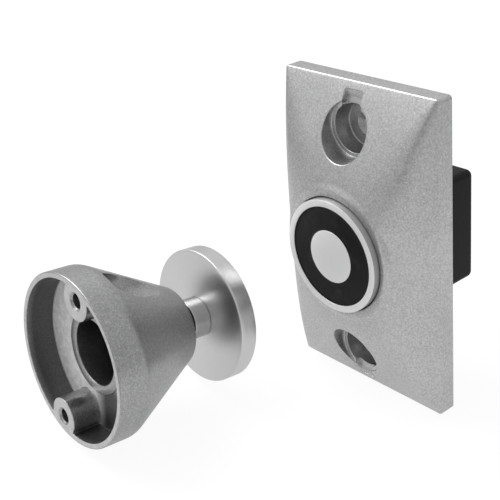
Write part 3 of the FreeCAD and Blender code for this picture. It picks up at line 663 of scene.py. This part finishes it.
def scallop_patches(middle, boss_place):
    """One scallop: the outline of its eased mouth on the flat cone, then its wall and its flat seat."""
    seat_ring = float(outer_radius(np.array([SCALLOP_SEAT]))[0])
    start = math.acos((seat_ring ** 2 - BOSS_RING_R ** 2 - SCALLOP_R ** 2) / (2 * BOSS_RING_R * SCALLOP_R))
    phi = np.linspace(start, 2 * math.pi - start, 110)
    x, z = BOSS_RING_R + SCALLOP_R * np.cos(phi), SCALLOP_R * np.sin(phi)
    angle, depth = np.arctan2(z, x), np.maximum(exit_depth(np.hypot(x, z)), SCALLOP_SEAT)
    back = np.linspace(angle[-1], angle[0], SEAT_COUNT + 2)[1:-1]
    at_seat = np.full(SEAT_COUNT, SCALLOP_SEAT)
    mouth = np.stack([np.concatenate([angle, back]) * ARC, np.concatenate([depth, at_seat])], 1)
    wide = mouth + with_normals(mouth)[1] * MOUTH_EASE
    brow, edge = (on_cone(loop[:, 0] / ARC + middle, loop[:, 1]) for loop in (wide, mouth))
    reach = seat_ring - 0.4
    flat = np.concatenate([spun(x, z, middle), spun(reach * np.cos(back), reach * np.sin(back), middle)])
    down = np.minimum(0.7, 0.5 * (depth - SCALLOP_SEAT))
    inner = depth_row(flat, np.concatenate([depth - down, at_seat]))
    floor = depth_row(flat, SCALLOP_SEAT)
    rows = rounded(brow, edge, inner, 4) + [inner + (floor - inner) * t for t in (0.25, 0.5, 0.75, 1.0)]
    hole = circle(DOOR_HOLE_R, HOLE_COUNT, boss_place)[0]
    seat = skin([flat, hole], SEAT_STEP, lambda p: depth_row(p, SCALLOP_SEAT))
    return wide + ((middle - first_turn) * ARC, 0.0), [strip(rows), seat]


def boss_arc(middle):
    """The cup's true outline at one boss: the boss's arc inside the rim, then the rim's wall as far as
    the other boss."""
    near = math.acos((RIM_INNER_R ** 2 + BOSS_RING_R ** 2 - BOSS_R ** 2) / (2 * RIM_INNER_R * BOSS_RING_R))
    start = math.atan2(RIM_INNER_R * math.sin(near), RIM_INNER_R * math.cos(near) - BOSS_RING_R)
    t = np.linspace(-start, start - 2 * math.pi, 120)
    boss = spun(BOSS_RING_R + BOSS_R * np.cos(t), BOSS_R * np.sin(t), middle)
    wall = np.linspace(middle + near, middle + math.pi - near, 260)
    return np.concatenate([boss, RIM_INNER_R * np.stack([np.cos(wall), np.sin(wall)], 1)])


def even_outline(points, count, ease):
    """An outline respaced evenly and eased by a bell-shaped average along it."""
    length = np.linalg.norm(np.roll(points, -1, 0) - points, axis=1)
    at = np.concatenate([[0], np.cumsum(length)])
    ring = np.concatenate([points, points[:1]])
    wanted = np.linspace(0, at[-1], count, endpoint=False)
    even = np.stack([np.interp(wanted, at, ring[:, i]) for i in (0, 1)], 1)
    reach = int(3 * ease)
    weight = np.exp(-0.5 * (np.arange(-reach, reach + 1) / ease) ** 2)
    weight /= weight.sum()
    return with_normals(sum(w * np.roll(even, k, 0) for k, w in zip(range(-reach, reach + 1), weight)))


def door_ring(radius, depth):
    """A ring of points about the housing's axis, starting at the seam of the cone's skin."""
    t = first_turn + np.arange(RIM_COUNT) * 2 * np.pi / RIM_COUNT
    return depth_row(radius * np.stack([np.cos(t), np.sin(t)], 1), depth)


cup_edge, cup_out = even_outline(np.concatenate([boss_arc(m) for m in BOSS_ANGLES]), 640, 2.2)
cup_rim, cup_wall, cup_foot = cup_edge + cup_out * 0.3, cup_edge - cup_out * 0.1, cup_edge - cup_out * 0.45
cup_rows = rounded(depth_row(cup_rim, 0.0), depth_row(cup_edge, 0.0), depth_row(cup_edge, 0.3))
cup_rows += [depth_row(cup_wall, 2.6)]
cup_rows += rounded(depth_row(cup_wall, BAND_L - 0.35), depth_row(cup_wall, BAND_L),
                    depth_row(cup_foot, BAND_L))
rim_start = door_ring(RIM_R - RIM_EASE, 0)
mouth_rings = [circle(DOOR_HOLE_R + 0.8, HOLE_COUNT, p)[0] for p in boss_places]
rim_face = skin([rim_start[:, [0, 2]], cup_rim, *mouth_rings], RIM_STEP, lambda p: depth_row(p, 0.0))
tube_foot = circle(TUBE_R + 0.6, RING_COUNT)[0]
cup_floor = skin([cup_foot, tube_foot], CUP_STEP, lambda p: depth_row(p, BAND_L))
rim_round = rounded(rim_start, door_ring(RIM_R, 0), door_ring(RIM_R, RIM_DROP))
tube_profile = [(TUBE_R + 0.6, BAND_L), (TUBE_R, BAND_L), (TUBE_R, TUBE_MOUTH), (TUBE_BORE_R, TUBE_MOUTH),
                (TUBE_BORE_R, GROOVE_NEAR), (GROOVE_R, GROOVE_NEAR), (GROOVE_R, GROOVE_FAR),
                (TUBE_BORE_R, GROOVE_FAR), (TUBE_BORE_R, TUBE_END), (NECK_HOLE_R, TUBE_END),
                (NECK_HOLE_R, HOUSING_L)]
tube_profile = eased([(r, -d) for r, d in tube_profile], [0.5, 0.4, 0.5, 0, 0, 0, 0, 0.3, 0])
tube = strip(revolved(tube_profile, RING_COUNT))
nose_profile = [(NECK_HOLE_R, HOUSING_L), (NOSE_R, HOUSING_L),
                (float(outer_radius(np.array([NOSE_BREAK]))[0]), NOSE_BREAK)]
nose = strip([door_ring(r, d) for r, d in eased(nose_profile, [1.6], 8)])
flat_width = 2 * math.pi * ARC
around = np.arange(RIM_COUNT) * flat_width / RIM_COUNT
seam = np.arange(RIM_DROP, NOSE_BREAK, 1.0)
border = np.concatenate([np.stack([around, np.full(RIM_COUNT, RIM_DROP)], 1),
                         np.stack([np.full(len(seam), flat_width), seam], 1),
                         np.stack([flat_width - around, np.full(RIM_COUNT, NOSE_BREAK)], 1),
                         np.stack([np.zeros(len(seam) - 1), seam[:0:-1]], 1)])
openings, scallops = [], []
for middle, boss_place in zip(BOSS_ANGLES, boss_places):
    outline, patches = scallop_patches(middle, boss_place)
    openings.append(outline)
    scallops += patches
cone_skin = skin([border, *openings], CONE_STEP, lambda p: on_cone(p[:, 0] / ARC + first_turn, p[:, 1]))
screw_holes = []
for boss_place in boss_places:
    flat, out = circle(DOOR_HOLE_R, HOLE_COUNT, boss_place)
    screw_holes.append(strip([depth_row(flat + out * wider, depth) for wider, depth in
                              ((0.8, 0.0), (0.65, 0.12), (0, 0.8), (0, 6.0), (0, SCALLOP_SEAT))]))
door_cast = piece_of("door_casting", [rim_face, strip(rim_round), strip(cup_rows), cup_floor, tube, nose,
                                      cone_skin, *scallops, *screw_holes], in_door_unit)

# Marks on the housing: painted shade inside the bore, down the cup's wall, less so at its lower right, and on
# the lower right of the cup's floor; rough on the rest of the floor, half so on the rim's face
x, depth, z = out_of_door_unit(mesh_points(door_cast.data)).T
across = np.hypot(x, z)
in_bore = np.clip((depth - TUBE_MOUTH - 0.5) / 3.0, 0, 1) * (across < TUBE_BORE_R + 1.2)
on_wall = np.clip((depth - 0.4) / 2.0, 0, 1) * (depth < BAND_L - 0.2) * (np.abs(across - RIM_INNER_R) < 1.2)
on_floor = (np.abs(depth - BAND_L) < 0.02) & (across > TUBE_R) & (across < RIM_INNER_R)
lit_wall = np.clip((x + 6.0) / 8.0, 0, 1) * np.clip((-8.0 - z) / 8.0, 0, 1)
shaded_floor = on_floor * np.clip((x + 4.0) / 8.0, 0, 1) * np.clip((-3.0 - z) / 10.0, 0, 1)
on_rim = (depth < 0.02) & (across < RIM_R)
# Painted shade: darkest in the bore, then down the cup's wall, then on the floor's lower right
mark_points(door_cast.data, "painted_shade",
            np.maximum(np.maximum(in_bore, 0.74 * on_wall * (1 - 0.45 * lit_wall)), 0.55 * shaded_floor))
mark_points(door_cast.data, "rough_cast", on_floor * (1 - shaded_floor) + 0.5 * on_rim)
door_metal = cast_metal("satin_housing", (0.34, 0.342, 0.345), (0.50, 0.502, 0.505), 0.30, 0.00004, 0.4)
door_cast.data.materials.append(door_metal)
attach(door_cast, "root")
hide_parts("door_housing")


# Armature: a thick steel disc on a post with a ball, both turned and bright nickel plated. The
# turning marks run round the axis, so light spreads across them in fans.
NECK_R, HUB_R, HUB_L, BALL_R, BALL_PLACE, BALL_FLAT = 4.5, 7.6, 7.1, 7.5, 34.0, 6.0
SPIGOT_R, SPIGOT_L, DISC_HOLE_R, DISC_SINK_R, DISC_SINK, COUNTERBORE = 5.0, 2.5, 3.0, 6.0, 3.0, 4.2


def turned_piece(name, profile, count):
    """A turned piece from (radius, depth) pairs, with a map that runs round the work and along it."""
    profile = np.array(profile, float)
    n = count + 1
    t = first_turn + np.linspace(0, 2 * np.pi, n)
    r, d = np.maximum(profile[:, 0], 1e-4), profile[:, 1]
    depth = np.broadcast_to(d[:, None], (len(r), n))
    points = np.stack([r[:, None] * np.cos(t), depth, r[:, None] * np.sin(t)], -1)
    along = np.concatenate([[0], np.cumsum(np.linalg.norm(np.diff(profile, axis=0), axis=1))])
    quads = quads_between(len(r), n, count)
    mesh = bpy.data.meshes.new(name)
    mesh.from_pydata((in_door_unit(points.reshape(-1, 3)) * MM).tolist(), [], quads.tolist())
    layer = mesh.uv_layers.new(name="turning")
    flat = quads.ravel()
    uv = np.stack([(flat % n) / count, along[flat // n] / along[-1]], 1)
    layer.data.foreach_set("uv", uv.ravel())
    finish_mesh(mesh, SHARP_TURNED)
    return add_object(name, mesh)


def divided(profile, gap):
    """The profile with its long straight runs divided, so that the mesh is even."""
    out = [np.array(profile[0], float)]
    for p, q in zip(profile, profile[1:]):
        p, q = np.array(p, float), np.array(q, float)
        count = max(1, int(np.linalg.norm(q - p) / gap))
        out += [p + (q - p) * (k + 1) / count for k in range(count)]
    return out


disc_face = DISC_PLACE + DISC_T
disc_profile = eased([(SPIGOT_R, disc_face - COUNTERBORE), (SPIGOT_R, DISC_PLACE), (DISC_R, DISC_PLACE),
                      (DISC_R, disc_face), (DISC_SINK_R, disc_face), (DISC_HOLE_R, disc_face - DISC_SINK),
                      (DISC_HOLE_R, disc_face - COUNTERBORE), (SPIGOT_R, disc_face - COUNTERBORE)],
                     [0, 0.45, 0.4, 0.08, 0, 0], 5)
disc = turned_piece("armature_plate", divided(disc_profile, 1.2), 224)
ball_t = np.linspace(math.acos(-BALL_FLAT / BALL_R), math.asin(NECK_R / BALL_R), 24)
ball_profile = [(BALL_R * math.sin(a), BALL_PLACE + BALL_R * math.cos(a)) for a in ball_t]
hub_start, spigot_end = DISC_PLACE - HUB_L, DISC_PLACE + SPIGOT_L
post_profile = [(0, BALL_PLACE - BALL_FLAT), *ball_profile]
post_profile += eased([ball_profile[-1], (NECK_R, hub_start), (HUB_R, hub_start), (HUB_R, DISC_PLACE),
                       (SPIGOT_R, DISC_PLACE), (SPIGOT_R, spigot_end), (0, spigot_end)],
                      [0.5, 0.6, 0.3, 0, 0.2], 6)[1:]
post = turned_piece("armature_stem", divided(post_profile, 1.2), 160)


def turned_metal(name, dark, light, roughness, lines, anisotropic):
    """Turned bright metal: fine rings along the profile, light drawn out across them."""
    material, tree, shader = new_material(name)
    turning = add_node(tree, "UVMap", uv_map="turning")
    along = add_node(tree, "SeparateXYZ", {0: turning.outputs[0]})
    rings = add_node(tree, "TexNoise", noise_dimensions="1D")
    feed(tree, rings.inputs, {"W": along.outputs["Y"], "Scale": lines, "Detail": 3.0})
    haze = noise_node(tree, object_place(tree), 70.0, 3.0, 0.6)
    tangent = add_node(tree, "Tangent", direction_type="UV_MAP", uv_map="turning")
    feed(tree, shader.inputs, {"Base Color": mix_colour(tree, haze, dark, light), "Metallic": 1.0,
                               "Roughness": scaled(tree, haze, 0.12, roughness - 0.06),
                               "Anisotropic": anisotropic, "Tangent": tangent.outputs[0]})
    bump_into(tree, shader, rings.outputs["Fac"], 0.00003)
    return material


disc_metal = turned_metal("turned_disc", (0.66, 0.66, 0.66), (0.80, 0.80, 0.80), 0.32, 160.0, 0.45)
post_metal = turned_metal("turned_post", (0.42, 0.42, 0.42), (0.56, 0.56, 0.56), 0.28, 110.0, 0.2)
for piece, node, slot, material in ((disc, "armature_disc", "nickel_disc", disc_metal),
                                    (post, "armature_post", "nickel_post", post_metal)):
    piece.data.materials.append(material)
    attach(piece, "armature")
    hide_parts(node)


# Black moulded housing behind the plate, and the terminal block in it: fine spark texture, dull.
def fair_copy(node, body, material):
    """A finished copy of a machined or moulded piece: its triangles joined, its curves shaded smooth."""
    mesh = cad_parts[node].data.copy()
    mesh.name = node + "_finished"
    mesh.materials.clear()
    work = bmesh.new()
    work.from_mesh(mesh)
    bmesh.ops.remove_doubles(work, verts=work.verts, dist=1e-6)
    work.to_mesh(mesh)
    work.free()
    mesh.shade_smooth()
    mesh.set_sharp_from_angle(angle=math.radians(SHARP_COPY))
    mesh.materials.append(material)
    obj = add_object(node + "_finished", mesh)
    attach(obj, body)
    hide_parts(node)


def moulded(name, dark, light, roughness, scale, depth, specular=0.5):
    """Moulded plastic or resin: spark texture in relief and a little in tone and gloss."""
    material, tree, shader = new_material(name)
    texture = noise_node(tree, object_place(tree), scale, 3.0, 0.6)
    rough = scaled(tree, texture, 0.2, roughness - 0.1, clamp=True)
    feed(tree, shader.inputs, {"Base Color": mix_colour(tree, texture, dark, light), "Roughness": rough,
                               "Specular IOR Level": specular})
    bump_into(tree, shader, texture, depth)
    return material


box_black = moulded("moulded_black", (0.008, 0.008, 0.0085), (0.016, 0.016, 0.0165), 0.5, 1800.0, 0.00005,
                    0.15)
for node in ("rear_housing", "terminal_block"):
    fair_copy(node, "root", box_black)


# Small metal parts: bracket, screws, washer and clamps in bluish zinc plate, brass terminal screws,
# and dark spring steel in the swivel.
def plated(name, dark, light, roughness, metallic=1.0):
    """Thin plating: cloudy tone, fine scratches in the gloss."""
    material, tree, shader = new_material(name)
    where = object_place(tree)
    cloud = noise_node(tree, where, 240.0, 3.0, 0.6)
    fine = noise_node(tree, where, 1700.0, 2.0, 0.6)
    feed(tree, shader.inputs, {"Base Color": mix_colour(tree, cloud, dark, light), "Metallic": metallic,
                               "Roughness": scaled(tree, fine, 0.16, roughness - 0.08)})
    bump_into(tree, shader, fine, 0.00001)
    return material


zinc = plated("zinc_plate", (0.58, 0.60, 0.62), (0.74, 0.75, 0.76), 0.32)
for node in ("magnet_bracket", "bracket_screws", "lock_washer", "magnet_screw", "housing_screws",
             "board_screws", "terminal_clamps"):
    fair_copy(node, "root", zinc)
fair_copy("disc_screw", "armature", zinc)
brass = plated("turned_brass", (0.62, 0.46, 0.20), (0.78, 0.60, 0.28), 0.30)
fair_copy("terminal_screws", "root", brass)
spring = plated("dark_spring", (0.08, 0.08, 0.085), (0.16, 0.16, 0.165), 0.42, 0.8)
for node in ("disc_springs", "retaining_ring"):
    fair_copy(node, "root", spring)


# Board, its parts, the coil and the swivel's seats: moulded, dipped or laminated.
board_green = moulded("board_green", (0.02, 0.12, 0.05), (0.04, 0.20, 0.08), 0.4, 900.0, 0.00002)
epoxy_black = moulded("epoxy_black", (0.02, 0.02, 0.02), (0.05, 0.05, 0.05), 0.45, 1500.0, 0.00003)
dipped_blue = moulded("dipped_blue", (0.05, 0.10, 0.32), (0.10, 0.17, 0.45), 0.25, 300.0, 0.00004)
nylon_white = moulded("nylon_white", (0.72, 0.71, 0.66), (0.86, 0.85, 0.80), 0.4, 400.0, 0.00002)
acetal_white = moulded("acetal_white", (0.78, 0.78, 0.75), (0.90, 0.90, 0.88), 0.35, 400.0, 0.00001)
copper_wire = plated("enamelled_copper", (0.34, 0.12, 0.05), (0.58, 0.24, 0.10), 0.3, 0.7)
for node, slot, material in (("circuit_board", "board_green", board_green),
                             ("rectifier", "black_epoxy", epoxy_black),
                             ("varistor", "varistor_coat", dipped_blue),
                             ("coil_bobbin", "bobbin_nylon", nylon_white),
                             ("coil_winding", "enamelled_wire", copper_wire)):
    fair_copy(node, "root", material)
for node in ("front_seat", "rear_seat"):
    fair_copy(node, "swivel_seats", acetal_white)


# Floor: a plain white sheet a little below both units, clear of the disc when it tilts. The camera sees
# it all but white with a soft shadow on it; in the metal it shows bright near the pair, greyer far off.
FLOOR_Z, FLOOR_HALF, NEAR_FLOOR = -0.0605, 3.0, 0.12
floor_mesh = bpy.data.meshes.new("floor")
corners = rectangle(FLOOR_HALF, FLOOR_HALF).tolist()
floor_mesh.from_pydata([(x, y, FLOOR_Z) for x, y in corners], [], [(0, 1, 2, 3)])
floor = add_object("floor", floor_mesh)
white_floor, tree, shader = new_material("white_floor")
rays = add_node(tree, "LightPath")
seen_directly = rays.outputs["Is Camera Ray"]
feed(tree, shader.inputs, {"Base Color": mix_colour(tree, seen_directly, (0.68, 0.68, 0.68), (0.9, 0.9, 0.9)),
                           "Roughness": 0.9})
where = add_node(tree, "NewGeometry").outputs["Position"]
far = add_node(tree, "VectorMath", {0: where}, operation="LENGTH")
fade = math_node(tree, "SUBTRACT", far.outputs["Value"], NEAR_FLOOR, clamp=True)
fade = math_node(tree, "MAXIMUM", scaled(tree, fade, -0.7, 0.86), 0.42)
in_metal = math_node(tree, "MAXIMUM", rays.outputs["Is Glossy Ray"], rays.outputs["Is Transmission Ray"])
in_metal = scaled(tree, in_metal, 0.72)
glow_share = math_node(tree, "MAXIMUM", scaled(tree, seen_directly, 0.86), in_metal)
level = math_node(tree, "MAXIMUM", scaled(tree, seen_directly, 1.06), fade)
glow = add_node(tree, "Emission", {"Color": (1.0, 1.0, 1.0), "Strength": level})
blend = add_node(tree, "MixShader", {0: glow_share, 1: shader.outputs[0], 2: glow.outputs[0]})
feed(tree, tree.nodes["Material Output"].inputs, {"Surface": blend.outputs[0]})
floor_mesh.materials.append(white_floor)


# World: white behind everything the camera sees, and for the metal a plain grey studio with soft
# panels round it, bright ones and, with a strength below zero, ones of dark card.
def studio_panel(tree, direction, heading, rise, spread, strength):
    """A smooth spot: strength times e to the power of (cosine to its middle - 1) / (1 - cosine of spread)."""
    heading, rise, spread = math.radians(heading), math.radians(rise), math.radians(spread)
    middle = math.cos(heading) * math.cos(rise), math.sin(heading) * math.cos(rise), math.sin(rise)
    towards = add_node(tree, "VectorMath", {0: direction}, operation="DOT_PRODUCT")
    towards.inputs[1].default_value = middle
    steep = 1 / (1 - math.cos(spread))
    fall = scaled(tree, towards.outputs["Value"], steep, -steep)
    return scaled(tree, math_node(tree, "EXPONENT", fall), strength)


# Heading from +X towards +Y, rise above the horizon and spread, all in degrees, then the strength
PANELS = ((88, 0, 18, -0.24), (86, 38, 18, 0.04), (132, 24, 18, 0.10), (226, 38, 22, 0.06),
          (236, 8, 12, 0.32), (178, 54, 20, 0.85), (282, -6, 24, -0.28))
ROOM_GREY, SKY_GAIN, DARKEST_ROOM = 0.56, 0.12, 0.02
world = bpy.data.worlds.new("studio")
bpy.context.scene.world = world
world.use_nodes = True
tree = world.node_tree
direction = add_node(tree, "TexCoord").outputs["Generated"]
axes = add_node(tree, "SeparateXYZ", {0: direction})
room = math_node(tree, "MAXIMUM", axes.outputs["Z"], 0.0)
room = scaled(tree, room, SKY_GAIN, ROOM_GREY)
for panel in PANELS:
    room = math_node(tree, "ADD", room, studio_panel(tree, direction, *panel))
room = math_node(tree, "MAXIMUM", room, DARKEST_ROOM)
rays = add_node(tree, "LightPath")
grey = add_node(tree, "CombineColor", {0: room, 1: room, 2: room})
shade = mix_colour(tree, rays.outputs["Is Camera Ray"], grey.outputs[0], (1.0, 1.0, 1.0))
feed(tree, tree.nodes["Background"].inputs, {"Color": shade, "Strength": 1.0})


# Studio lamp: one broad soft disc above the pair, to the left and a little in front
LAMP_AIM, LAMP_WAY = (-0.01, -0.03, 0.0), (-0.56, -0.22, 0.80)
LAMP_DISTANCE, LAMP_SIZE, LAMP_POWER = 0.9, 0.75, 4.2
light = bpy.data.lights.new("overhead", "AREA")
light.shape, light.size, light.energy = "DISK", LAMP_SIZE, LAMP_POWER
lamp = add_object("overhead", light)
way = Vector(LAMP_WAY).normalized()
lamp_place = Matrix.Translation(Vector(LAMP_AIM) + way * LAMP_DISTANCE)
lamp.matrix_world = lamp_place @ way.to_track_quat("Z", "Y").to_matrix().to_4x4()

bpy.context.scene.view_settings.view_transform = "Standard"
